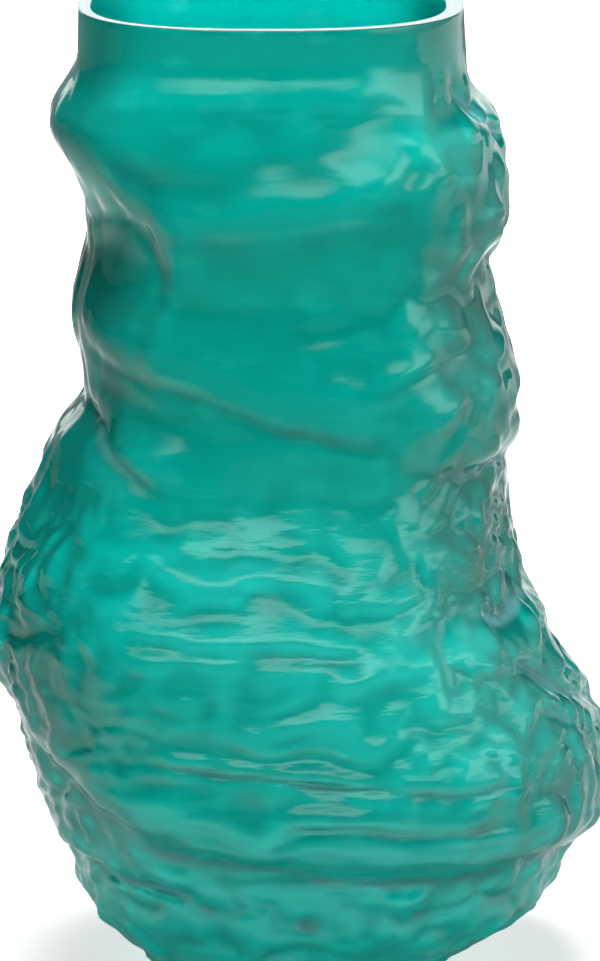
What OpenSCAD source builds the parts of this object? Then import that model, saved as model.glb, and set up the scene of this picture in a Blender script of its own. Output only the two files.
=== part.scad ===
// Hand blown glass vase: a tall bag of cased glass whose wall has slumped
// into folds, with a straight collar, a flat cut rim and a flat ground base.
// Two layers of glass make the wall: a clear casing outside and, lining it
// from the floor to the rim, a thin layer of coloured glass.
//
// Millimetres. The origin is the middle of the ground base, on the table.
// +Z is up, -Y is the front, +X is the right-hand side seen from the front.

/* [Size] */
// Height from the table to the cut rim
height = 338; // [300:2:380]
// Width of the belly, from the left side to the right side
belly_w = 213; // [190:1:240]
// Depth of the vase from front to back, as a share of its usual depth
depth_share = 1; // [0.9:0.02:1.1]

/* [Folds] */
// Depth of the folds, as a share of their usual depth
fold_share = 1; // [0:0.1:1.2]
// Height of the small waves between the folds
wave_h = 0.9; // [0:0.1:1.5]

/* [Glass] */
// Thickness of the wall at the front and the back of the rim
wall_t = 5.2; // [4.5:0.1:7]
// How much thicker the wall is on the right, and thinner on the left
wall_drift = 0.9; // [0:0.1:1.2]
// Thickness of the coloured layer
colour_t = 1; // [0.8:0.1:1.5]
// Thickness of the clear glass under the coloured layer's floor
floor_t = 14; // [10:1:20]

/* [Hidden] */
casing_colour = [0.80, 0.93, 0.91, 0.45];
lining_colour = [0.00, 0.55, 0.50, 0.90];

// The tables of the shape are written for a vase of this size.
usual_height = 338;
usual_belly_w = 213;
grow_x = belly_w / usual_belly_w;
grow_z = height / usual_height;

// How far each side of the vase reaches from the middle, as
// [height, reach] at every swell, neck and bend from the base to the rim.
left_side = [
    [0, 42], [11, 57], [28, 72], [45, 78], [68, 88], [94, 96], [122, 103],
    [146, 99], [172, 88], [190, 81], [206, 70], [233, 74.5], [262, 69], [275, 69],
    [299, 82], [322, 72.5], [338, 72]
];
right_side = [
    [0, 42], [11, 64], [28, 89], [36, 93], [46, 99], [58, 107], [78, 110],
    [96, 104], [121, 90], [152, 77.5], [183, 75], [208, 79], [248, 69],
    [272, 75], [299, 71], [308, 63], [318, 60.5], [338, 59]
];
front_side = [
    [0, 44], [11, 62], [28, 74], [45, 80], [62, 90], [85, 95], [115, 93],
    [150, 84], [185, 74], [215, 74], [250, 69], [285, 71], [305, 68],
    [322, 64], [338, 65]
];
back_side = [
    [0, 44], [12, 62], [30, 75], [60, 90], [95, 97], [130, 92], [165, 80],
    [200, 72], [240, 75], [275, 69], [305, 71], [324, 64], [338, 64]
];

// How square the vase is at each height: 2 is an oval, 4 a rounded square.
squareness = [[0, 2], [60, 2.2], [200, 2.4], [300, 2.6], [338, 2.5]];

// The folds. Each runs along a path of [angle, height] points, with the
// angle measured from the front towards the right-hand side. A fold has
// [name, rise, half width, path]: a crease has a rise below zero.
folds = [
    ["shoulder lip", 3.5, 9, [[-66, 279], [-50, 281], [-38, 275], [-26, 258]]],
    ["shoulder hollow", -6, 13, [[-58, 256], [-46, 246], [-38, 234]]],
    ["waist roll", 3.5, 9, [[-68, 237], [-50, 230], [-24, 224], [18, 206]]],
    ["waist crease", -4, 8, [[-72, 226], [-54, 219], [-23, 212], [20, 195]]],
    ["left pleat", -4, 8, [[-70, 204], [-55, 196], [-42, 190], [-24, 181]]],
    ["right neck", -3.5, 9, [[38, 184], [60, 187], [95, 183], [130, 190]]],
    ["right knuckle", 3.5, 11, [[34, 246], [58, 250], [86, 238], [112, 240]]],
    ["upper V roll", 4, 10, [[92, 150], [64, 144], [44, 137], [30, 124]]],
    ["V crease", -5, 8, [[34, 129], [50, 117], [64, 108], [92, 94]]],
    ["lower V roll", 4, 9, [[10, 113], [30, 116], [44, 107], [58, 96]]],
    ["belly edge", 4, 9, [[-70, 94], [-50, 80], [-34, 67], [6, 62], [56, 66]]],
    ["foot crease", -5, 8, [[-76, 84], [-50, 64], [-28, 49], [8, 43], [88, 39]]],
    ["left foot pleat", -3, 8, [[-74, 32], [-50, 36], [-30, 38]]],
    ["foot dimple", -4, 8, [[-2, 36], [-2, 26]]],
    ["back roll", 4, 11, [[118, 150], [150, 130], [190, 118], [228, 126]]],
    ["back crease", -5, 9, [[112, 134], [150, 112], [196, 99], [232, 107]]],
    ["back waist crease", -4, 9, [[140, 226], [175, 214], [215, 222]]],
    ["back foot crease", -5, 9, [[100, 42], [150, 50], [200, 46], [262, 62]]]
];
NAME = 0;
RISE = 1;
HALF_W = 2;
PATH = 3;

// Folds are measured on the wall rolled out flat, at this mean radius.
mean_r = 78;
mm_per_degree = mean_r * PI / 180;

// The straight collar below the rim has no folds or waves.
collar_top = 326;
collar_blend = 22;

// The foot stands on a flat face, so folds and waves fade out above it.
foot_blend = 16;

// The folds show a little less on the inner faces of the wall.
inner_share = 0.7;

// The floor inside rounds up into the wall.
floor_round = 24;

// Facets around each layer, and rows of facets up it.
around = 76;
outer_rows = 48;
inner_rows = 30;
outer_crowding = 1.12;
inner_crowding = 1.35;

// ---- a smooth curve through [height, value] points ----

function slope(table, i) =
    (table[i + 1][1] - table[i][1]) / (table[i + 1][0] - table[i][0]);

// The curve is level at each swell and neck, and leans with both of its
// neighbours at every other point.
function lean(table, i) =
    let (last = len(table) - 1)
    i == 0 ? slope(table, 0) :
    i == last ? slope(table, last - 1) :
    let (below = slope(table, i - 1), above = slope(table, i))
    below * above <= 0 ? 0 : 2 * below * above / (below + above);

function value_at(table, z) =
    let (
        last = len(table) - 1,
        i = max([0, for (k = [0:last - 1]) if (table[k][0] <= z) k]),
        span = table[i + 1][0] - table[i][0],
        t = min(1, (z - table[i][0]) / span),
        low = table[i][1],
        high = table[i + 1][1],
        out = lean(table, i) * span,
        in = lean(table, i + 1) * span
    )
    low + out * t
        + (3 * (high - low) - 2 * out - in) * pow(t, 2)
        + (2 * (low - high) + out + in) * pow(t, 3);

// ---- folds and waves ----

function smooth_step(low, high, x) =
    let (t = min(1, max(0, (x - low) / (high - low))))
    t * t * (3 - 2 * t);

// The angle from one direction to another, the short way round.
function turn(from, to) = (to - from + 540) % 360 - 180;

// Distance on the rolled-out wall from a place to one stretch of a path.
function stretch_distance(place, start, end) =
    let (
        run = [turn(start[0], end[0]) * mm_per_degree, end[1] - start[1]],
        to = [turn(start[0], place[0]) * mm_per_degree, place[1] - start[1]],
        t = min(1, max(0, (to * run) / (run * run)))
    )
    norm(to - run * t);

function path_distance(place, path) =
    min([for (i = [0:len(path) - 2])
        stretch_distance(place, path[i], path[i + 1])]);

function fold_height(place) =
    let (rises = [
        for (fold = folds)
            let (away = path_distance(place, fold[PATH]) / fold[HALF_W])
            away < 3 ? fold[RISE] * exp(-away * away) : 0
    ])
    fold_share * (rises * [for (rise = rises) 1]);

// Slow swells crossed by finer ripples that lean across the wall.
function wave_height(place) =
    let (a = place[0], z = place[1])
    wave_h * (
        sin(3 * a + 2.1 * z) * sin(2.6 * z - a)
        + 0.8 * sin(7 * a - 4.3 * z + 60 * sin(2 * a))
        + 0.5 * sin(5 * a + 9.5 * z)
    );

function relief(a, z) =
    let (place = [a, z])
    smooth_step(collar_top, collar_top - collar_blend, z)
        * smooth_step(0, foot_blend, z)
        * (fold_height(place) + wave_height(place));

// ---- rings of points around the vase ----

// One direction's reach on a rounded square of half width 1.
function rounded_square(share, power) =
    sign(share) * pow(abs(share), 2 / power);

// A ring at a height, its points moved inwards by a thickness. The extra
// inset rounds the floor of a hollow into its wall.
function ring(z, relief_share, thickness, drift, extra) =
    let (
        usual_z = z / grow_z,
        left = value_at(left_side, usual_z) * grow_x,
        right = value_at(right_side, usual_z) * grow_x,
        front = value_at(front_side, usual_z) * grow_x * depth_share,
        back = value_at(back_side, usual_z) * grow_x * depth_share,
        power = value_at(squareness, usual_z),
        middle = [(right - left) / 2, (back - front) / 2]
    )
    [for (i = [0:around - 1])
        let (
            a = 360 * i / around,
            spoke = [
                (right + left) / 2 * rounded_square(sin(a), power),
                -(back + front) / 2 * rounded_square(cos(a), power)
            ],
            inset = thickness + drift * sin(a) + extra,
            bump = relief_share == 0 ? 0 : relief_share * relief(a, usual_z),
            stretch = 1 + (bump - inset) / norm(spoke),
            flat = middle + spoke * stretch
        )
        [flat[0], flat[1], z]
    ];

function outer_rings() =
    [for (k = [0:outer_rows])
        ring(height * pow(k / outer_rows, outer_crowding), 1, 0, 0, 0)];

// The rings of a hollow, from its floor up to the rim.
function hollow_rings(floor_z, thickness) =
    [for (k = [0:inner_rows])
        let (
            rise = (height - floor_z) * pow(k / inner_rows, inner_crowding),
            short = 1 - min(1, rise / floor_round),
            extra = floor_round * (1 - sqrt(1 - short * short))
        )
        ring(floor_z + rise, inner_share, thickness, wall_drift, extra)
    ];

meeting_rings = hollow_rings(floor_t, wall_t - colour_t);
inside_rings = hollow_rings(floor_t + colour_t, wall_t);

// ---- a layer of glass between two stacks of rings ----

function joined(lists) = [for (list = lists) each list];

function middle_of(ring) =
    [for (axis = [0:2]) [for (p = ring) p[axis]] * [for (p = ring) 1]]
        / len(ring);

// Two triangles for each facet of a wall whose rings start at a point.
function wall_faces(first, rings) =
    [for (k = [0:rings - 2], i = [0:around - 1])
        let (
            next = (i + 1) % around,
            low = first + k * around,
            high = low + around
        )
        each [
            [low + i, high + next, low + next],
            [low + i, high + i, high + next]
        ]
    ];

// A fan that closes one ring around a centre point.
function fan_faces(first, centre) =
    [for (i = [0:around - 1])
        [first + i, first + (i + 1) % around, centre]];

function flipped(faces) = [for (f = faces) [f[0], f[2], f[1]]];

module glass_layer(outside, inside) {
    out_count = len(outside) * around;
    in_count = len(inside) * around;
    points = concat(
        joined(outside),
        joined(inside),
        [middle_of(outside[0]), middle_of(inside[0])]
    );
    rim_out = out_count - around;
    rim_in = out_count + in_count - around;
    faces = concat(
        wall_faces(0, len(outside)),
        flipped(wall_faces(out_count, len(inside))),
        fan_faces(0, out_count + in_count),
        flipped(fan_faces(out_count, out_count + in_count + 1)),
        [for (i = [0:around - 1])
            let (next = (i + 1) % around)
            each [
                [rim_out + i, rim_in + next, rim_out + next],
                [rim_out + i, rim_in + i, rim_in + next]
            ]
        ]
    );
    polyhedron(points, faces);
}

// The clear gather: the whole outside of the vase, its thick bottom and
// most of the rim.
module clear_casing() {
    color(casing_colour)
        glass_layer(outer_rings(), meeting_rings);
}

// The coloured bubble that the clear gather was taken over.
module colour_layer() {
    color(lining_colour)
        glass_layer(meeting_rings, inside_rings);
}

clear_casing();
colour_layer();
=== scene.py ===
"""A hand blown glass vase: a clear casing over a thin teal layer, slumped into folds.

The wall is one function of the direction around the vase and the height: four side curves, the
large folds, and crumples between them. Both layers of glass are built from it.
"""

import math

import bpy
import numpy as np
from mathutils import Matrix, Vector


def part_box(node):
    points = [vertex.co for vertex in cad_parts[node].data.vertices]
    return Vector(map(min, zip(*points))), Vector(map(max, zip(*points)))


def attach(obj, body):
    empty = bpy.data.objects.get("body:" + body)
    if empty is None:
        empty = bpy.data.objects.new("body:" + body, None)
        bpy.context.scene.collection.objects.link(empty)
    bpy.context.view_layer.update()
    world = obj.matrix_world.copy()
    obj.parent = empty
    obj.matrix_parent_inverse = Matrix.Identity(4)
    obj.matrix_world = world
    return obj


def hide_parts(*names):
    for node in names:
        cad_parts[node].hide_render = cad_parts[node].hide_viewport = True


MM = 0.001

# ---------------------------------------------------------------- shape, in millimetres

# How far each side reaches from the middle, as (height, reach) at every swell, neck and bend.
LEFT_SIDE = [
    (0, 42), (11, 57), (28, 72), (45, 78), (68, 88), (94, 96), (122, 103),
    (146, 99), (172, 88), (190, 81), (206, 70), (233, 74.5), (262, 69), (275, 69),
    (299, 82), (322, 72.5), (338, 72),
]
RIGHT_SIDE = [
    (0, 42), (11, 64), (28, 89), (36, 93), (46, 99), (58, 107), (78, 110),
    (96, 104), (121, 90), (152, 77.5), (183, 75), (208, 79), (248, 69),
    (272, 75), (299, 71), (308, 63), (318, 60.5), (338, 59),
]
FRONT_SIDE = [
    (0, 44), (11, 62), (28, 74), (45, 80), (62, 90), (85, 95), (115, 93),
    (150, 84), (185, 74), (215, 73), (250, 70), (285, 71), (310, 68),
    (326, 65), (338, 65),
]
BACK_SIDE = [
    (0, 44), (12, 62), (30, 75), (60, 90), (95, 97), (130, 92), (165, 80),
    (200, 72), (240, 75), (275, 69), (305, 71), (324, 64), (338, 64),
]

# How square a level cut is: 2 is an oval, 4 a rounded square.
SQUARENESS = [(0, 2), (60, 2.2), (200, 2.4), (300, 2.6), (338, 2.5)]

# Folds and creases: name, lip height, lip width, crease depth, crease width, path.
# A path runs through (angle, height) points, the angle from the front towards the right.
# The lip lies to the left of someone who walks along the path on the outside of the vase.
FOLDS = [
    ("shoulder", 2.6, 10, 1.2, 3.2, [
        (-84, 264), (-66, 272), (-50, 274), (-39, 268), (-33, 257), (-31, 243),
    ]),
    ("hollow side", 0.6, 7, 0.6, 5.0, [(-33, 246), (-37, 231), (-42, 217)]),
    ("waist end", 0.0, 4, 0.5, 2.4, [(-6, 206), (6, 201), (21, 195)]),
    ("waist", 1.8, 11, 1.0, 3.2, [
        (-78, 231), (-54, 223), (-38, 219), (-23, 214), (-6, 206), (6, 201), (21, 195),
    ]),
    ("pleat", 1.6, 7, 1.6, 2.8, [(-78, 208), (-55, 197), (-42, 190), (-22, 180)]),
    ("right neck", 2.6, 9, 2.6, 4.0, [(30, 187), (50, 184), (70, 186), (95, 183), (130, 190)]),
    ("ring", 0.8, 5, 0.9, 2.2, [
        (52, 141), (42, 139), (37, 132), (37, 124), (43, 118), (54, 118), (66, 119),
    ]),
    ("V low", 1.8, 7, 2.8, 2.8, [(50, 127), (60, 119), (70, 108), (82, 100), (100, 90)]),
    ("V high", 2.4, 8, 2.2, 3.0, [(98, 141), (75, 137), (60, 134), (46, 139)]),
    ("spur", 1.6, 5, 0.8, 4.0, [(10, 115), (24, 120), (36, 125)]),
    ("right dash", 1.2, 5, 1.6, 2.6, [(52, 107), (62, 101), (72, 92)]),
    ("belly edge", 3.0, 11, 2.4, 5.0, [
        (-80, 96), (-62, 84), (-50, 75), (-36, 62), (-10, 56), (6, 51), (28, 49), (56, 52),
        (92, 44),
    ]),
    ("left foot", 1.6, 6, 2.8, 2.8, [(-82, 49), (-62, 48), (-45, 45), (-25, 43)]),
    ("foot line", 1.2, 6, 1.6, 3.4, [(-46, 52), (-34, 42), (-20, 36)]),
    ("ripple one", 1.0, 3.5, 1.5, 1.9, [(-30, 93), (-22, 92), (-3, 89), (14, 84)]),
    ("ripple two", 1.0, 3.5, 1.5, 1.9, [(-6, 74), (11, 70), (28, 69), (40, 71)]),
    ("ripple three", 0.9, 3.5, 1.3, 1.9, [(12, 84), (28, 83), (42, 82)]),
    ("collar ledge", 2.0, 5, 0.0, 4.0, [(-52, 312), (-20, 314), (10, 314), (34, 312)]),
    ("high streak", 3.4, 8, 0.0, 4.0, [(-40, 268), (-12, 268), (8, 274), (32, 288)]),
    ("belly streak", 1.3, 5, 1.0, 2.6, [(-28, 134), (-12, 132), (2, 131), (18, 128)]),
    ("right crease", 1.2, 8, 2.2, 4.0, [(52, 264), (70, 257), (92, 250)]),
    ("dash", 0.9, 2.4, 0.3, 2.4, [(20, 219), (38, 224)]),
    ("right shoulder", 1.6, 7, 2.6, 3.6, [(58, 325), (66, 312), (75, 302), (90, 292)]),
    ("back", 3.6, 11, 3.6, 5.0, [(112, 140), (150, 120), (196, 107), (232, 115)]),
    ("back waist", 3.0, 10, 3.2, 5.0, [(140, 226), (175, 214), (215, 222)]),
    ("back foot", 3.0, 10, 3.2, 5.0, [(96, 44), (150, 52), (200, 50), (262, 70)]),
]

# Single lumps and dents: angle, height, half width, half height, amount.
LUMPS = [
    (-47, 248, 13, 15, -1.0),
    (38, 296, 14, 16, 1.6),
    (55, 280, 12, 12, -1.6),
    (62, 262, 14, 11, 1.6),
    (40, 236, 15, 7, 1.8),
    (48, 222, 16, 6, -1.2),
    (36, 208, 16, 10, 1.4),
    (28, 170, 14, 10, 0.8),
    (38, 157, 8, 12, 1.6),
    (46, 128, 7, 7, 1.2),
    (1, 150, 4, 3, -0.7),
    (-2, 34, 5, 5, -2.4),
    (24, 36, 5, 4, -1.6),
    (50, 38, 4, 5, -1.6),
    (-50, 64, 5, 7, -1.6),
    (-4, 155, 16, 4, 0.8),
    (-20, 158, 8, 6, 0.7),
    (20, 150, 14, 6, 0.7),
    (12, 110, 20, 8, 0.7),
    (30, 84, 16, 14, 0.9),
]

# Crumples between the folds: noise, width and rise of one lump, height, softness, and how much
# of it each zone shows. With a softness it is rounded lumps between valleys, without one it is
# smooth waves. A negative height turns the valleys into ridges.
CRUMPLES = [
    ("lumps", 30, 24, 5.5, 0.12, {"right belly": 0.8, "right neck": 0.9, "back": 0.4}),
    ("folds", 14, 17, 3.4, 0.12, {"right belly": 0.9, "right": 0.5, "back": 0.35}),
    ("folds", 15, 22, 5.2, 0.12, {"left belly": 1.0, "left neck": 0.35, "back": 0.25}),
    ("skin", 9, 7.5, 2.3, 0.10, {"left belly": 1.2, "right belly": 0.9, "flank foot": 0.7}),
    ("folds", 18, 12, 3.4, 0.10, {"foot": 1.0}),
    ("lumps", 9, 7, 1.6, 0.10, {"foot": 1.0}),
    ("sway", 60, 8, -2.2, 0.05, {"low belly": 1.0}),
    ("skin", 44, 15, 1.0, None, {"calm": 0.3, "calm belly": 1.0}),
    ("folds", 22, 8.5, 1.0, None, {"calm": 0.3, "calm belly": 0.5, "foot": 0.6}),
    ("lumps", 13, 10, 1.0, None, {"calm": 0.2, "calm belly": 0.7, "foot": 0.8}),
    ("lumps", 12, 10, 1.5, None, {"right neck": 1.0}),
    ("skin", 11, 8, 0.45, None, {"belly front": 1.0}),
    ("sway", 50, 40, 1.0, None, {"all": 1.0}),
]
REST = 0.24  # lumps are counted from this height, so that they swell and sink about equally

WARP, WARP_SIZE = 5, 22  # the lumps are bent this far, over this distance, so that none line up
FOLD_SWAY, FOLD_SWAY_SIZE = 1.5, 22  # and so are the folds
FOLD_SAG = 0.4  # a lip hangs down by this share of its height
FOLD_ENDS = (-0.05, 0.2)  # a fold fades in, and out, between these shares of its length

MEAN_R = 78  # the radius at which folds are measured on the rolled-out wall
MM_PER_DEGREE = MEAN_R * math.pi / 180
COLLAR_LOW, COLLAR_HIGH = 306, 328  # the straight collar has no folds
FOOT_BLEND = 10  # folds fade in above the ground base
INNER_SHARE = 0.7  # how much of the folds shows on the inside of the wall
FLOOR_ROUND = 24  # the floor inside rounds up into the wall
WALL, WALL_DRIFT, COLOUR, FLOOR = 5.2, 0.9, 1.0, 14.0
GAP = 0.05  # the teal layer lies this far inside the casing's inner face
EDGE = 0.5  # radius of the softened edges of the cut rim and the ground base
EDGE_STEPS = 3

AROUND, INNER_ROWS = 320, 80  # points in a ring, and rings up the inside
RING_LIMITS, RING_COUNTS = (215, 315), (150, 57, 8)  # rings are closer where the glass is wrinkled
INNER_CROWDING = 1.3  # the rings inside are closer towards the floor

# How deep the glass is painted with shade. Each depth is measured from the wall averaged over some
# points.
DETAIL_DEPTH, DETAIL_BLUR = 0.34, 11  # painted relief shade: small valleys darker, small crests paler
SHADE_MIDDLE, SHADE_REACH = 0.22, 0.6  # the painted shade of smooth glass, and how far it swings
CREASE_DEPTH, CREASE_BLUR = 2.2, 8  # a narrow crease this deep is painted with full shade
HOLLOW_DEPTH, HOLLOW_BLUR = 4.6, 40  # and so is a wide hollow this deep
HOLLOW_LIMITS = (0.1, 1.0)  # shallower than the first isn't shaded, deeper than the second fully
SMALL_SHARE = 0.4  # how much of the crumples counts as creases and hollows

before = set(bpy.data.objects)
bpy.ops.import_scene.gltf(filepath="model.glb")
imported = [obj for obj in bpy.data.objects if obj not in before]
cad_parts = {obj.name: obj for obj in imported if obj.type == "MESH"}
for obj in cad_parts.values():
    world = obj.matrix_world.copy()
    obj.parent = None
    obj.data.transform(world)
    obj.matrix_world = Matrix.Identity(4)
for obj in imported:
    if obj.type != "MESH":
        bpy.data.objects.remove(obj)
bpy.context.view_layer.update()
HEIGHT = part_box("clear_casing")[1][2] / MM


def value_at(table, z):
    """A smooth curve through (height, value) points, level at each swell and neck."""
    x, y = np.array(table, float).T
    slope = np.diff(y) / np.diff(x)
    below, above = slope[:-1], slope[1:]
    with np.errstate(divide="ignore", invalid="ignore"):
        lean = np.where(below * above > 0, 2 * below * above / (below + above), 0)
    lean = np.concatenate([slope[:1], lean, slope[-1:]])
    i = np.clip(np.searchsorted(x, z, side="right") - 1, 0, len(x) - 2)
    span = x[i + 1] - x[i]
    t = np.clip((z - x[i]) / span, 0, 1)
    start, end = lean[i] * span, lean[i + 1] * span
    rise = y[i + 1] - y[i]
    return y[i] + start * t + (3 * rise - 2 * start - end) * t**2 + (start + end - 2 * rise) * t**3


def smooth_step(low, high, x):
    """From 0 at one limit to 1 at the other, level at both."""
    t = np.clip((x - low) / (high - low), 0, 1)
    return t * t * (3 - 2 * t)


def turn_from(angle, centre):
    """The turn from one direction to another, between -180 and 180 degrees."""
    return (angle - centre + 180) % 360 - 180


class Noise:
    """Smooth random heights between about -1 and 1, the same on every run."""

    GAIN = 1.6  # brings the heights up to about 1

    def __init__(self, seed):
        rng = np.random.default_rng(seed)
        self.table = rng.permutation(256)
        slopes = rng.normal(size=(256, 3))
        self.slopes = slopes / np.linalg.norm(slopes, axis=1, keepdims=True)

    def corner(self, cell, to):
        key = self.table[cell[..., 0] % 256]
        key = self.table[(key + cell[..., 1]) % 256]
        key = self.table[(key + cell[..., 2]) % 256]
        return (self.slopes[key] * to).sum(-1)

    def __call__(self, p):
        cell = np.floor(p).astype(int)
        f = p - cell
        u = f * f * f * (f * (f * 6 - 15) + 10)
        total = 0
        for dx in (0, 1):
            for dy in (0, 1):
                for dz in (0, 1):
                    step = np.array([dx, dy, dz])
                    share = np.abs(1 - step - u).prod(-1)
                    total = total + share * self.corner(cell + step, f - step)
        return self.GAIN * total


def billows(noise, p, soft):
    """Rounded lumps with valleys between them, like a crumpled bag, from 0 to about 1."""
    n = noise(p)
    return np.sqrt(n * n + soft * soft) - soft


def near_path(angle, z, path):
    """Distance to a path on the rolled-out wall, above 0 to its left, and how far along it."""
    best = np.full(np.shape(z), 1e9)
    side = np.zeros(np.shape(z))
    along = np.zeros(np.shape(z))
    lengths = [
        math.hypot((b[0] - a[0]) * MM_PER_DEGREE, b[1] - a[1]) for a, b in zip(path, path[1:])
    ]
    done = 0
    for (a0, z0), (a1, z1), length in zip(path, path[1:], lengths):
        px, pz = turn_from(angle, a0) * MM_PER_DEGREE, z - z0
        rx, rz = (a1 - a0) * MM_PER_DEGREE, z1 - z0
        t = np.clip((px * rx + pz * rz) / length**2, 0, 1)
        ox, oz = px - rx * t, pz - rz * t
        away = np.hypot(ox, oz)
        closer = away < best
        best = np.where(closer, away, best)
        side = np.where(closer, rx * oz - rz * ox, side)
        along = np.where(closer, (done + t * length) / sum(lengths), along)
        done += length
    return np.where(side > 0, best, -best), along


NOISES = {"lumps": Noise(3), "folds": Noise(11), "sway": Noise(29), "skin": Noise(41)}


def folds(angle, z, place):
    """Height of the large folds, and how far they sag, in mm."""
    sway_a = FOLD_SWAY * NOISES["sway"](place / FOLD_SWAY_SIZE)
    sway_z = FOLD_SWAY * NOISES["skin"](place / FOLD_SWAY_SIZE)
    height = np.zeros(np.shape(z))
    sag = np.zeros(np.shape(z))
    for _, lip, lip_w, cut, cut_w, path in FOLDS:
        away, along = near_path(angle + sway_a, z + sway_z, path)
        fade = smooth_step(*FOLD_ENDS, along) * smooth_step(*FOLD_ENDS, 1 - along)
        lips = lip * np.exp(-(((away - lip_w) / lip_w) ** 2)) * fade
        height += lips - cut * np.exp(-((away / cut_w) ** 2)) * fade
        sag += FOLD_SAG * lips
    for at, up, half_w, half_h, amount in LUMPS:
        across = turn_from(angle, at) * MM_PER_DEGREE + sway_a
        height += amount * np.exp(-((across / half_w) ** 2) - ((z + sway_z - up) / half_h) ** 2)
    return height, sag


def near(angle, centre, half):
    """How near a direction is to the middle of a stretch of the wall, from 0 to 1."""
    return np.exp(-((turn_from(angle, centre) / half) ** 2))


def zones(angle, z):
    """How much each place belongs to each named zone of the wall, from 0 to 1."""
    right = near(angle, 66, 40)
    left = near(angle, -76, 36)
    belly = smooth_step(190, 160, z) * smooth_step(30, 60, z)
    low_belly = smooth_step(130, 105, z) * smooth_step(45, 62, z)
    high_belly = smooth_step(122, 140, z) * smooth_step(188, 168, z)
    neck = smooth_step(150, 190, z)
    foot = smooth_step(60, 40, z)
    calm = 1 - 0.5 * np.maximum(left, right)
    return {
        "all": 1,
        "right": right,
        "right belly": right * belly,
        "right neck": right * neck,
        "left belly": left * belly,
        "left neck": left * neck,
        "back": near(angle, 180, 55),
        "foot": foot,
        "flank foot": np.maximum(left, right) * foot,
        "calm": calm,
        "calm belly": calm * belly,
        "low belly": calm * low_belly,
        "belly front": near(angle, 4, 32) * high_belly,
    }


def crumples(angle, z, place):
    """Height of the lumps and wrinkles between the folds, in mm."""
    warp = np.stack([NOISES[name](place / WARP_SIZE) for name in ("sway", "skin", "folds")], -1)
    bent = place + WARP * warp
    shares = zones(angle, z)
    height = np.zeros(np.shape(z))
    for name, width, rise, amount, soft, where in CRUMPLES:
        place_in_noise = bent / (width, width, rise)
        if soft is None:
            layer = NOISES[name](place_in_noise)
        else:
            layer = billows(NOISES[name], place_in_noise, soft) - REST
        height += amount * layer * sum(share * shares[zone] for zone, share in where.items())
    return height


def relief(angle, z, place):
    """Height of all the relief and how far it sags, in mm, and the painted shades of hollows and
    detail.
    """
    height, sag = folds(angle, z, place)
    small = crumples(angle, z, place)
    fade = smooth_step(COLLAR_HIGH, COLLAR_LOW, z) * smooth_step(0, FOOT_BLEND, z)
    height, small = height * fade, small * fade
    hollow = hollows(height + SMALL_SHARE * small)
    return height + small, sag * fade, hollow, thickness_shade(height + small)


def ring_points(heights, share, thickness, drift, extra):
    """A grid of points, one ring of the wall at each height, and the two painted shades there.

    The share is how much of the relief shows. The points move inwards by a thickness, which
    drifts from the left to the right, and by some extra at each height.
    """
    z = np.asarray(heights, float)[:, None] * np.ones(AROUND)
    angle = np.arange(AROUND)[None, :] * (360 / AROUND) * np.ones_like(z)
    left, right, front, back = (
        value_at(side, z) for side in (LEFT_SIDE, RIGHT_SIDE, FRONT_SIDE, BACK_SIDE)
    )
    power = 2 / value_at(SQUARENESS, z)
    a = np.radians(angle)
    spoke_x = (left + right) / 2 * np.sign(np.sin(a)) * np.abs(np.sin(a)) ** power
    spoke_y = -(front + back) / 2 * np.sign(np.cos(a)) * np.abs(np.cos(a)) ** power
    reach = np.hypot(spoke_x, spoke_y)
    mid_x, mid_y = (right - left) / 2, (back - front) / 2
    place = np.stack([mid_x + spoke_x, mid_y + spoke_y, z], -1)
    height, sag, hollow, thick = relief(angle, z, place)
    inset = thickness + drift * np.sin(a) + np.asarray(extra)[:, None]
    stretch = 1 + (share * height - inset) / reach
    points = [mid_x + spoke_x * stretch, mid_y + spoke_y * stretch, z - share * sag]
    return np.stack(points, -1), hollow, thick


def blurred(height, times):
    """The relief averaged with its neighbours, around the ring and up the wall."""
    for _ in range(times):
        height = (np.roll(height, 1, 1) + height + np.roll(height, -1, 1)) / 3
        padded = np.concatenate([height[:1], height, height[-1:]])
        height = (padded[:-2] + padded[1:-1] + padded[2:]) / 3
    return height


def thickness_shade(height):
    """Painted relief shade, from 0 on the small crests, painted paler, to 1 in the small valleys,
    painted darker.
    """
    detail = blurred(height, DETAIL_BLUR) - height
    return np.clip(SHADE_MIDDLE + SHADE_REACH * np.tanh(detail / DETAIL_DEPTH), 0, 1)


def hollows(height):
    """How far each place lies in a crease or a hollow, from 0 to 1, which is how much painted shade
    it gets.
    """
    crease = (blurred(height, CREASE_BLUR) - height) / CREASE_DEPTH
    hollow = (blurred(height, HOLLOW_BLUR) - height) / HOLLOW_DEPTH
    return smooth_step(*HOLLOW_LIMITS, np.maximum(crease, 0) + np.maximum(hollow, 0))


def soft_edge():
    """Steps of a quarter circle from a wall onto a level cut: rise below the cut, and inset."""
    turn = np.linspace(0, math.pi / 2, EDGE_STEPS + 1)
    return EDGE * (1 - np.sin(turn)), EDGE * (1 - np.cos(turn))


def outer_grid():
    """The outside, from the softened edge of the ground base to that of the cut rim."""
    below, inset = soft_edge()
    limits = [EDGE, *RING_LIMITS, HEIGHT - EDGE]
    spans = zip(limits, limits[1:], RING_COUNTS)
    wall = np.concatenate([np.linspace(a, b, count, endpoint=False) for a, b, count in spans])[1:]
    heights = np.concatenate([below[::-1], wall, HEIGHT - below])
    extra = np.concatenate([inset[::-1], 0 * wall, inset])
    return ring_points(heights, 1, 0, 0, extra)


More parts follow.
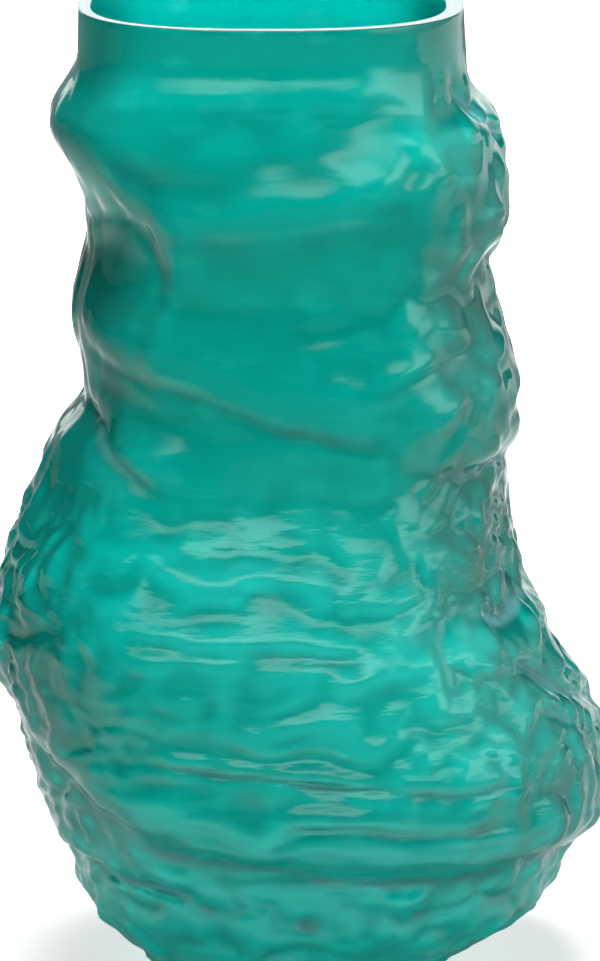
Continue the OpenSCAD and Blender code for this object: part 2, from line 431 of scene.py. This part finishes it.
def hollow_grid(floor, thickness, top):
    """A face inside the wall, from its floor up to a height, with a softened edge at the rim."""
    rise = (top - EDGE - floor) * np.linspace(0, 1, INNER_ROWS + 1) ** INNER_CROWDING
    short = 1 - np.clip(rise / FLOOR_ROUND, 0, 1)
    below, inset = soft_edge()
    heights = np.concatenate([floor + rise[:-1], top - below])
    extra = np.concatenate([FLOOR_ROUND * (1 - np.sqrt(1 - short**2))[:-1], -inset])
    return ring_points(heights, INNER_SHARE, thickness, WALL_DRIFT, extra)


def wall_faces(first, rows, flip):
    """The faces between rings of points that start at the point numbered first."""
    i = np.arange(AROUND)
    j = (i + 1) % AROUND
    k = first + np.arange(rows - 1)[:, None] * AROUND
    quad = [k + i, k + j, k + AROUND + j, k + AROUND + i]
    quad = np.stack(quad[::-1] if flip else quad, -1)
    return quad.reshape(-1, 4).tolist()


def shell_faces(outer_rows, inner_rows):
    """The faces of a closed layer: both walls, the cut rim and base, and the floor inside."""
    i = np.arange(AROUND)
    j = (i + 1) % AROUND
    outer, both = outer_rows * AROUND, (outer_rows + inner_rows) * AROUND
    walls = wall_faces(0, outer_rows, False) + wall_faces(outer, inner_rows, True)
    top_out, top_in = outer - AROUND, both - AROUND
    rim = np.stack([top_out + i, top_out + j, top_in + j, top_in + i], -1).tolist()
    base = [(b, a, both) for a, b in zip(i.tolist(), j.tolist())]
    floor = [(outer + a, outer + b, both + 1) for a, b in zip(i.tolist(), j.tolist())]
    return walls, rim + base, floor


def shell(name, outside, inside):
    """A closed layer of glass between two grids of rings, with its cuts in a second material."""
    outer, hollow, thick = outside
    inner = inside[0]
    centres = [outer[0].mean(0), inner[0].mean(0)]
    points = np.concatenate([outer.reshape(-1, 3), inner.reshape(-1, 3), centres])
    walls, cuts, floor = shell_faces(len(outer), len(inner))
    mesh = bpy.data.meshes.new(name)
    mesh.from_pydata((points * MM).tolist(), [], walls + cuts + floor)
    mesh.shade_smooth()
    for face in range(len(walls), len(walls) + len(cuts)):
        mesh.polygons[face].use_smooth = False
        mesh.polygons[face].material_index = 1
    plain = np.zeros(len(points) - hollow.size)
    # The painted crease shade and the painted relief shade, carried at each point.
    for kind, values in (("hollow", hollow), ("thick", thick)):
        field = mesh.attributes.new(kind, "FLOAT", "POINT")
        field.data.foreach_set("value", np.concatenate([values.ravel(), plain]))
    piece = bpy.data.objects.new(name, mesh)
    bpy.context.collection.objects.link(piece)
    return piece


teal_top = HEIGHT - EDGE
casing = shell("casing_glass", outer_grid(), hollow_grid(FLOOR + COLOUR, WALL, HEIGHT))
colour = shell(
    "colour_glass",
    hollow_grid(FLOOR, WALL - COLOUR, teal_top),
    hollow_grid(FLOOR + COLOUR - GAP, WALL - GAP, teal_top),
)

# ---------------------------------------------------------------- materials

# In the functions that add nodes, mat is a material or the world.


def new_material(name):
    """A material with nothing in it but a principled shader."""
    mat = bpy.data.materials.new(name)
    mat.use_nodes = True
    nodes = mat.node_tree.nodes
    nodes.clear()
    out = nodes.new("ShaderNodeOutputMaterial")
    shader = nodes.new("ShaderNodeBsdfPrincipled")
    mat.node_tree.links.new(shader.outputs["BSDF"], out.inputs["Surface"])
    return mat, shader


def noise_node(mat, scale, stretch, detail):
    """A noise texture stretched along x, y and z, and the object's coordinates that it is on."""
    nodes, links = mat.node_tree.nodes, mat.node_tree.links
    coord = nodes.new("ShaderNodeTexCoord")
    place = nodes.new("ShaderNodeMapping")
    noise = nodes.new("ShaderNodeTexNoise")
    place.inputs["Scale"].default_value = stretch
    noise.inputs["Scale"].default_value = scale
    noise.inputs["Detail"].default_value = detail
    links.new(coord.outputs["Object"], place.inputs["Vector"])
    links.new(place.outputs["Vector"], noise.inputs["Vector"])
    return noise.outputs["Fac"], coord.outputs["Object"]


def ranged(mat, source, limits, results):
    """A value smoothly moved from between two limits to between two results."""
    node = mat.node_tree.nodes.new("ShaderNodeMapRange")
    node.interpolation_type = "SMOOTHSTEP"
    mat.node_tree.links.new(source, node.inputs["Value"])
    names = ("From Min", "From Max", "To Min", "To Max")
    for socket, value in zip(names, (*limits, *results)):
        node.inputs[socket].default_value = value
    return node.outputs["Result"]


def mixed(mat, share, first, second):
    """A colour between two others."""
    node = mat.node_tree.nodes.new("ShaderNodeMix")
    node.data_type = "RGBA"
    mat.node_tree.links.new(share, node.inputs["Factor"])
    for socket, value in (("A", first), ("B", second)):
        target = [s for s in node.inputs if s.name == socket and s.type == "RGBA"][0]
        if isinstance(value, tuple):
            target.default_value = (*value, 1)
        else:
            mat.node_tree.links.new(value, target)
    return [s for s in node.outputs if s.type == "RGBA"][0]


def link(mat, source, shader, socket):
    """Lets a node's result drive one of the shader's sockets."""
    mat.node_tree.links.new(source, shader.inputs[socket])


def attribute(mat, name):
    """A value that the mesh carries at each of its points."""
    node = mat.node_tree.nodes.new("ShaderNodeAttribute")
    node.attribute_name = name
    return node.outputs["Fac"]


def axis(mat, vector, name):
    """One coordinate of a place or a direction."""
    node = mat.node_tree.nodes.new("ShaderNodeSeparateXYZ")
    mat.node_tree.links.new(vector, node.inputs[0])
    return node.outputs[name]


def math_node(mat, operation, *values):
    """A sum, product and so on, of other values or plain numbers."""
    node = mat.node_tree.nodes.new("ShaderNodeMath")
    node.operation = operation
    for socket, value in zip(node.inputs, values):
        if isinstance(value, (int, float)):
            socket.default_value = value
        else:
            mat.node_tree.links.new(value, socket)
    return node.outputs[0]


def bumped(mat, shader, source, strength, distance):
    """Fine relief on a surface, from a value between 0 and 1 and a height in metres."""
    node = mat.node_tree.nodes.new("ShaderNodeBump")
    node.inputs["Strength"].default_value = strength
    node.inputs["Distance"].default_value = distance
    mat.node_tree.links.new(source, node.inputs["Height"])
    mat.node_tree.links.new(node.outputs["Normal"], shader.inputs["Normal"])


# The colour that light takes on in the clear glass: painted relief shade, paler on small crests
# and darker in small valleys; darker where the wall is seen edge-on; and painted shade in creases
# and hollows, greyer and less clear there.
CREST, VALLEY = (0.88, 1.0, 0.98), (0.20, 0.61, 0.59)
EDGE_ON = (0.09, 0.26, 0.245)
CREASE_SHADE_COLOUR = (0.10, 0.30, 0.33)
CREASE_SHADE_CLARITY = 0.6
EDGE_ON_LIMITS, EDGE_ON_SHARE = (0.10, 0.52), 0.95
FOOT_EDGE_SHARE = 0.5  # the outline of the foot is paler
GLASS_IOR = 1.5
POLISHED_ROUGHNESS = (0.06, 0.13)
NECK_RIPPLE = 0.25  # how much of the belly's fine ripple the neck has

NOISE_SPREAD = (0.3, 0.7)  # most values of a noise texture lie between these

# The ground rim and base.
GROUND_DARK, GROUND_PALE = (0.16, 0.18, 0.185), (0.23, 0.255, 0.26)
GROUND_CLARITY = 0.5
GROUND_ROUGHNESS = (0.3, 0.5)

# Heights between which the glass changes its look, in metres.
FOOT_TO_BELLY, BELLY_TO_NECK = (0.02, 0.07), (0.15, 0.22)
TEAL_FOOT_TO_BELLY, TEAL_BELLY_TO_NECK = (0.04, 0.11), (0.14, 0.23)

# The colour layer: over the foot, painted paler to stand in for the light there, where it was blown
# wide, in the neck, and its palest flecks.
FOOT_TEAL, WIDE_TEAL, NECK_TEAL = (0.0, 1.0, 0.91), (0.0, 0.86, 0.785), (0.0, 0.82, 0.745)
PALE_TEAL = (0.08, 1.0, 0.905)
TEAL_CLARITY = 0.6
PAINTED_LIGHT_MIDDLE = (0.008, -0.09, 0.132)  # the middle of a painted pool of light, paler teal, in metres
PAINTED_LIGHT_REACH, PAINTED_LIGHT_SHARE = (0.02, 0.085), 0.9  # it fades out this far from there
STREAKS, STREAK_SHARE = (0.35, 0.7), 0.3
FLECKS, FLECK_SHARE = (0.52, 0.66), 0.35
GLOW_DEPTH = 0.002  # light spreads this far in the colour layer, in metres


def clear_glass():
    """Fire-polished glass: soft gloss that varies a little, fine cords in the surface, and painted
    shade.
    """
    mat, shader = new_material("clear_glass")
    wrinkles, place = noise_node(mat, scale=75, stretch=(1, 1, 3.5), detail=3)
    height = axis(mat, place, "Z")
    # Painted relief shade: paler on small crests, darker in small valleys.
    body = mixed(mat, attribute(mat, "thick"), CREST, VALLEY)
    facing = mat.node_tree.nodes.new("ShaderNodeLayerWeight").outputs["Facing"]
    edge_on = ranged(mat, facing, EDGE_ON_LIMITS, (0, EDGE_ON_SHARE))
    above_foot = ranged(mat, height, FOOT_TO_BELLY, (FOOT_EDGE_SHARE, 1))
    body = mixed(mat, math_node(mat, "MULTIPLY", edge_on, above_foot), body, EDGE_ON)
    # Painted shade in creases and hollows: the glass is greyer and less clear there.
    crease = attribute(mat, "hollow")
    link(mat, mixed(mat, crease, body, CREASE_SHADE_COLOUR), shader, "Base Color")
    link(mat, ranged(mat, crease, (0, 1), (1, CREASE_SHADE_CLARITY)), shader, "Transmission Weight")
    shader.inputs["IOR"].default_value = GLASS_IOR
    cords, _ = noise_node(mat, scale=60, stretch=(1, 1, 3), detail=3)
    link(mat, ranged(mat, cords, NOISE_SPREAD, POLISHED_ROUGHNESS), shader, "Roughness")
    below_neck = ranged(mat, height, BELLY_TO_NECK, (1, NECK_RIPPLE))
    ripple = math_node(mat, "MULTIPLY", wrinkles, below_neck)
    bumped(mat, shader, ripple, strength=0.4, distance=0.0009)
    return mat


def cut_glass():
    """The sawn and ground rim and base: pale, and matt with fine scratches."""
    mat, shader = new_material("cut_glass")
    grain, _ = noise_node(mat, scale=900, stretch=(1, 1, 1), detail=4)
    link(mat, mixed(mat, grain, GROUND_DARK, GROUND_PALE), shader, "Base Color")
    link(mat, ranged(mat, grain, NOISE_SPREAD, GROUND_ROUGHNESS), shader, "Roughness")
    shader.inputs["Transmission Weight"].default_value = GROUND_CLARITY
    shader.inputs["IOR"].default_value = GLASS_IOR
    bumped(mat, shader, grain, strength=0.2, distance=0.0001)
    return mat


def teal_glass():
    """The colour: paler where the bubble was blown wider, with drawn-out streaks and flecks.

    It is fused to the clear glass around it, so its faces don't bend or mirror light. Round one
    place at the front of the belly it has a painted pool of light.
    """
    mat, shader = new_material("teal_glass")
    streaks, place = noise_node(mat, scale=22, stretch=(1, 1, 4), detail=4)
    flecks, _ = noise_node(mat, scale=48, stretch=(1, 1, 2.4), detail=3)
    height = axis(mat, place, "Z")
    body = mixed(mat, ranged(mat, height, TEAL_BELLY_TO_NECK, (0, 1)), WIDE_TEAL, NECK_TEAL)
    # Painted paler over the foot, standing in for the light there.
    body = mixed(mat, ranged(mat, height, TEAL_FOOT_TO_BELLY, (1, 0)), body, FOOT_TEAL)
    body = mixed(mat, ranged(mat, streaks, STREAKS, (0, STREAK_SHARE)), body, NECK_TEAL)
    body = mixed(mat, ranged(mat, flecks, FLECKS, (0, FLECK_SHARE)), body, PALE_TEAL)
    # A painted pool of light: paler teal round one place at the front of the belly.
    away = mat.node_tree.nodes.new("ShaderNodeVectorMath")
    away.operation = "DISTANCE"
    mat.node_tree.links.new(place, away.inputs[0])
    away.inputs[1].default_value = PAINTED_LIGHT_MIDDLE
    painted_light = ranged(mat, away.outputs["Value"], PAINTED_LIGHT_REACH, (PAINTED_LIGHT_SHARE, 0))
    body = mixed(mat, painted_light, body, PALE_TEAL)
    link(mat, body, shader, "Base Color")
    shader.inputs["Transmission Weight"].default_value = TEAL_CLARITY
    shader.inputs["Roughness"].default_value = 0.0
    shader.inputs["IOR"].default_value = 1.0
    shader.inputs["Subsurface Weight"].default_value = 1
    shader.inputs["Subsurface Radius"].default_value = (1, 1, 1)
    shader.inputs["Subsurface Scale"].default_value = GLOW_DEPTH
    return mat


casing.data.materials.append(clear_glass())
casing.data.materials.append(cut_glass())
teal = teal_glass()
colour.data.materials.append(teal)
colour.data.materials.append(teal)  # its cut rim is the same glass

for piece, node, slot in (
    (casing, "clear_casing", "clear_glass"),
    (colour, "colour_layer", "teal_glass"),
):
    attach(piece, "root")
    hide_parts(node)

# ---------------------------------------------------------------- studio

# Lengths and places are in metres, with the vase in the middle and its front towards -Y.
FLOOR_REACH = 40
PAPER_DARK, PAPER_PALE = 0.03, 0.25  # the floor before the vase, and around it
PAPER_TURNS = (-0.30, -0.10)  # it turns from dark to pale between these depths
PAPER_GLOW = 0.04
SWEEP_GLOW = 0.88  # painted glow: the paper glows behind the vase, standing in for a lit sweep
SWEEP_DEPTH, SWEEP_HALF_WIDTH = (0.1, 1.0), (0.2, 0.5)
SIDE_GLOW = 0.9  # the paper glows far to the right too, and is mirrored in the collar
SIDE_REACH, SIDE_DEPTH = (0.7, 1.3), (-0.8, -0.2)
SHADOW_REACH, SHADOW_WHITE = (0.07, 0.4), 0.6  # partly painted shadow: the floor's white dims towards the vase, so its real soft shadow shows

# How bright the dark room is, and its bright patches.
AMBIENT = 0.02
BACKDROP, WINDOW, RIGHT_WALL, LEFT_WALL = 1.5, 2.3, 0.7, 0.08

TOP_BOX_WATTS = 66
TOP_BOX_HEIGHT = 1.25
TOP_BOX_SIZE = (0.7, 0.6)


def studio_floor():
    """Pale paper: white to the camera, but dark in front, so that the glass doesn't mirror it."""
    mesh = bpy.data.meshes.new("floor")
    corners = [(-1, -1), (1, -1), (1, 1), (-1, 1)]
    points = [(FLOOR_REACH * x, FLOOR_REACH * y, 0) for x, y in corners]
    mesh.from_pydata(points, [], [(0, 1, 2, 3)])
    floor = bpy.data.objects.new("floor", mesh)
    bpy.context.collection.objects.link(floor)
    mat, shader = new_material("floor")
    place = mat.node_tree.nodes.new("ShaderNodeNewGeometry").outputs["Position"]
    away = mat.node_tree.nodes.new("ShaderNodeVectorMath")
    away.operation = "LENGTH"
    mat.node_tree.links.new(place, away.inputs[0])
    depth, right = axis(mat, place, "Y"), axis(mat, place, "X")
    # Painted glow on the paper, behind the vase and far to the right.
    behind = ranged(mat, depth, SWEEP_DEPTH, (0, SWEEP_GLOW))
    between = ranged(mat, math_node(mat, "ABSOLUTE", right), SWEEP_HALF_WIDTH, (1, 0))
    beside = ranged(mat, right, SIDE_REACH, (0, SIDE_GLOW))
    beyond = ranged(mat, depth, SIDE_DEPTH, (0, 1))
    glow = math_node(mat, "MULTIPLY_ADD", behind, between, PAPER_GLOW)
    glow = math_node(mat, "MULTIPLY_ADD", beside, beyond, glow)
    # Partly painted shadow: the white the camera sees dims towards the middle, under the vase.
    white = ranged(mat, away.outputs["Value"], SHADOW_REACH, (SHADOW_WHITE, 1))
    seen = mat.node_tree.nodes.new("ShaderNodeLightPath").outputs["Is Camera Ray"]
    link(mat, math_node(mat, "MULTIPLY_ADD", seen, white, glow), shader, "Emission Strength")
    link(mat, ranged(mat, depth, PAPER_TURNS, (PAPER_DARK, PAPER_PALE)), shader, "Base Color")
    shader.inputs["Emission Color"].default_value = (1, 1, 1, 1)
    shader.inputs["Roughness"].default_value = 0.7
    mesh.materials.append(mat)


def studio_sky():
    """A dark room with soft bright patches, that is white where the camera looks straight at it."""
    world = bpy.data.worlds.new("studio")
    bpy.context.scene.world = world
    world.use_nodes = True
    background = world.node_tree.nodes["Background"]
    background.inputs["Color"].default_value = (1, 1, 1, 1)
    toward = world.node_tree.nodes.new("ShaderNodeTexCoord").outputs["Generated"]

    def patch(strength, *edges):
        """A bright patch with a soft edge for each (axis, dark, bright)."""
        for name, dark, bright in edges:
            share = ranged(world, axis(world, toward, name), (dark, bright), (0, 1))
            strength = math_node(world, "MULTIPLY", share, strength)
        return strength

    patches = (
        patch(BACKDROP, ("Y", 0.84, 0.97), ("Z", 0.80, 0.45)),
        patch(WINDOW, ("Y", -0.40, -0.85), ("Z", 0.28, 0.46), ("Z", 0.75, 0.52)),
        patch(WINDOW, ("X", 0.62, 0.78), ("Y", 0.1, -0.2), ("Z", 0.05, 0.15), ("Z", 0.45, 0.3)),
        patch(RIGHT_WALL, ("X", 0.55, 0.85), ("Z", -0.1, 0.1)),
        patch(LEFT_WALL, ("X", -0.70, -0.95), ("Z", 0.0, 0.2)),
    )
    light = world.node_tree.nodes.new("ShaderNodeLightPath").outputs["Is Camera Ray"]
    for bright in (AMBIENT, *patches):
        light = math_node(world, "MAXIMUM", light, bright)
    world.node_tree.links.new(light, background.inputs["Strength"])


def top_box():
    """A softbox over the vase. It has no mirror image in the glass."""
    lamp = bpy.data.lights.new("top_box", "AREA")
    lamp.shape = "RECTANGLE"
    lamp.size, lamp.size_y = TOP_BOX_SIZE
    lamp.energy = TOP_BOX_WATTS
    box = bpy.data.objects.new("top_box", lamp)
    box.location = (0, 0, TOP_BOX_HEIGHT)
    box.visible_camera = False
    box.visible_glossy = False
    bpy.context.collection.objects.link(box)


studio_floor()
studio_sky()
top_box()

# ---------------------------------------------------------------- camera

AIM = Vector((0.0, 0.0, 0.170))
DISTANCE = 2.5
RISE = math.radians(12)
VIEW_HEIGHT = 0.3315  # how much the picture spans at the middle of the vase
SENSOR = 24
SHIFT = (0.0104, 0.0058)  # the vase stands a little left of the middle and low in the picture


def add_camera():
    """A long lens a little above the vase, looking down at its middle."""
    data = bpy.data.cameras.new("camera")
    data.sensor_fit = "VERTICAL"
    data.sensor_height = SENSOR
    data.lens = SENSOR * DISTANCE / VIEW_HEIGHT
    data.shift_x, data.shift_y = SHIFT
    data.clip_end = 2 * FLOOR_REACH
    camera = bpy.data.objects.new("camera", data)
    camera.location = AIM + DISTANCE * Vector((0, -math.cos(RISE), math.sin(RISE)))
    camera.rotation_euler = (AIM - camera.location).to_track_quat("-Z", "Y").to_euler()
    bpy.context.collection.objects.link(camera)
    bpy.context.scene.camera = camera


add_camera()

LAYER_BOUNCES, MIRROR_BOUNCES = 32, 8  # enough for light to cross every layer of the glass

scene = bpy.context.scene
scene.view_settings.view_transform = "Standard"
scene.cycles.max_bounces = LAYER_BOUNCES
scene.cycles.transmission_bounces = LAYER_BOUNCES
scene.cycles.transparent_max_bounces = LAYER_BOUNCES
scene.cycles.glossy_bounces = MIRROR_BOUNCES
